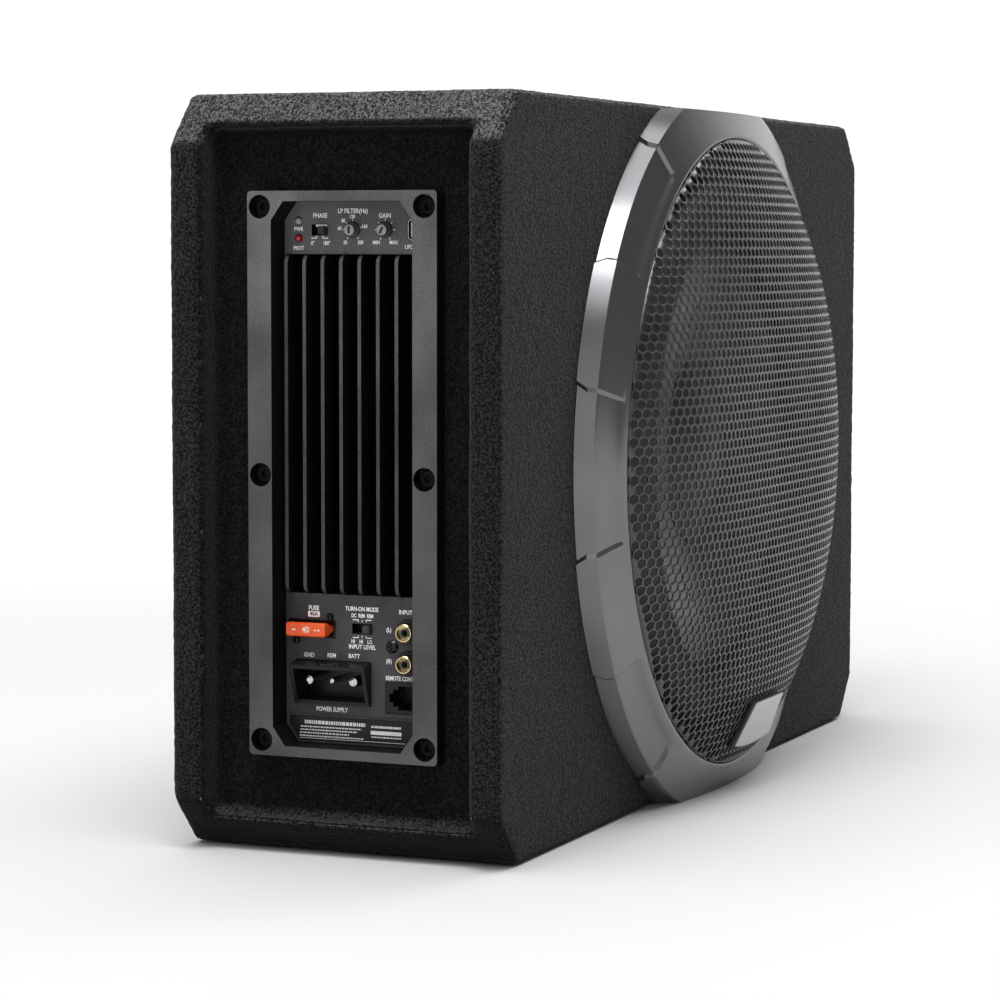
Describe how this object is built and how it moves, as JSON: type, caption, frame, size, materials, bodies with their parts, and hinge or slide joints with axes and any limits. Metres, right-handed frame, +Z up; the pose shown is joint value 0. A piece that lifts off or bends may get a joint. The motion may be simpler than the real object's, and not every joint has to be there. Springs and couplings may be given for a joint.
{
  "type": "powered car subwoofer",
  "caption": "Carpeted bass box with chamfered ends, a slim woofer behind a domed round grille on one face, and an amplifier plate with controls and sockets sunk into one end.",
  "frame": {"origin": "middle of the whole part's footprint, grille included, on the face it stands on", "axes": "+Z up as it stands; +X along the length, away from the amplifier's end; the woofer and grille face -Y"},
  "size_m": [0.532, 0.2044, 0.34],
  "materials": {
    "board": "raw medium-density fibreboard",
    "carpet": "short charcoal needle-felt carpet",
    "ring": "satin gunmetal paint",
    "grille_steel": "fine-textured dark powder coat",
    "badge": "satin silver-grey, blank",
    "cast_basket": "black powder coat",
    "black_rubber": "matt",
    "black_screw": "black oxide",
    "cone_paper": "pressed grey pulp",
    "cap": "smooth pressed pulp",
    "spider_cloth": "resin-dipped cotton",
    "former": "thin sheet",
    "copper": "enamelled copper wire",
    "steel": "zinc-plated",
    "ferrite": "matt ferrite",
    "black_plastic": "moulded",
    "lead_skin": "PVC insulation",
    "cast_plate": "sand-textured powder coat on die-cast aluminium",
    "foam": "closed-cell foam",
    "cover_steel": "black sheet steel",
    "circuit": "green solder mask",
    "epoxy": "moulded epoxy",
    "can": "printed sleeve, blank",
    "label": "printed film, blank",
    "orange_plastic": "translucent orange moulding",
    "tin": "tinned blades",
    "chrome_pin": "bright nickel",
    "gold": "gold-plated",
    "white_plastic": "moulded",
    "jack_shell": "moulded",
    "port_shell": "stamped shell",
    "lamp_clear": "diffused, unlit",
    "lamp_red": "diffused red, unlit",
    "lever_plastic": "light grey moulding",
    "knob_plastic": "black skirt, grey cap"
  },
  "bodies": {
    "cabinet": {"front_baffle": "board", "back_panel": "board", "top_panel": "board", "bottom_panel": "board", "far_end_panel": "board", "corner_strips": "board", "amp_end_panel": "board", "carpet_front": "carpet", "carpet_back": "carpet", "carpet_bottom": "carpet", "carpet_wrap": "carpet", "carpet_bay": "carpet", "trim_ring": "ring", "grille": "grille_steel", "badge": "badge", "basket": "cast_basket", "basket_gasket": "foam", "woofer_screws": "black_screw", "surround": "black_rubber", "spider": "spider_cloth", "top_plate": "steel", "magnet": "ferrite", "pole_plate": "steel", "terminal_block": "black_plastic", "speaker_leads": "lead_skin", "amp_plate": "cast_plate", "plate_gasket": "foam", "plate_screws": "black_screw", "amp_cover": "cover_steel", "main_board": "circuit", "power_transistors": "epoxy", "toroid": "copper", "filter_capacitors": "can", "input_board": "circuit", "control_board": "circuit", "rating_label": "label", "panel_screws": "black_screw", "fuse_holder": "black_plastic", "power_inlet": "black_plastic", "power_pins": "chrome_pin", "rca_block": "black_plastic", "rca_barrels": "gold", "rca_insulators": "white_plastic", "remote_jack": "jack_shell", "service_port": "port_shell", "power_led": "lamp_clear", "protect_led": "lamp_red", "phase_switch": "black_plastic", "mode_switch": "black_plastic", "pots": "black_plastic"},
    "cone_assembly": {"cone": "cone_paper", "dust_cap": "cap", "coil_former": "former", "coil_winding": "copper"},
    "filter_knob": {"filter_knob": "knob_plastic"},
    "gain_knob": {"gain_knob": "knob_plastic"},
    "phase_lever": {"phase_lever": "lever_plastic"},
    "mode_lever": {"mode_lever": "lever_plastic"},
    "fuse": {"blade_fuse": "orange_plastic", "fuse_blades": "tin"}
  },
  "joints": [
    {"name": "cone_travel", "type": "slide", "parent": "cabinet", "child": "cone_assembly", "axis": [0, -1, 0], "range_m": [-0.009, 0.009], "stiffness_N_per_m": 4000, "deforming": ["surround", "spider"]},
    {"name": "filter_turn", "type": "hinge", "parent": "cabinet", "child": "filter_knob", "pos_m": [-0.243, 0.0225, 0.2788], "axis": [1, 0, 0], "range_deg": [-150, 150]},
    {"name": "gain_turn", "type": "hinge", "parent": "cabinet", "child": "gain_knob", "pos_m": [-0.243, 0.0067, 0.2788], "axis": [1, 0, 0], "range_deg": [0, 300]},
    {"name": "phase_slide", "type": "slide", "parent": "cabinet", "child": "phase_lever", "axis": [0, 1, 0], "range_m": [0, 0.004]},
    {"name": "mode_slide", "type": "slide", "parent": "cabinet", "child": "mode_lever", "axis": [0, 1, 0], "range_m": [0, 0.006]},
    {"name": "fuse_pull", "type": "slide", "parent": "cabinet", "child": "fuse", "axis": [-1, 0, 0], "range_m": [0, 0.022]}
  ]
}
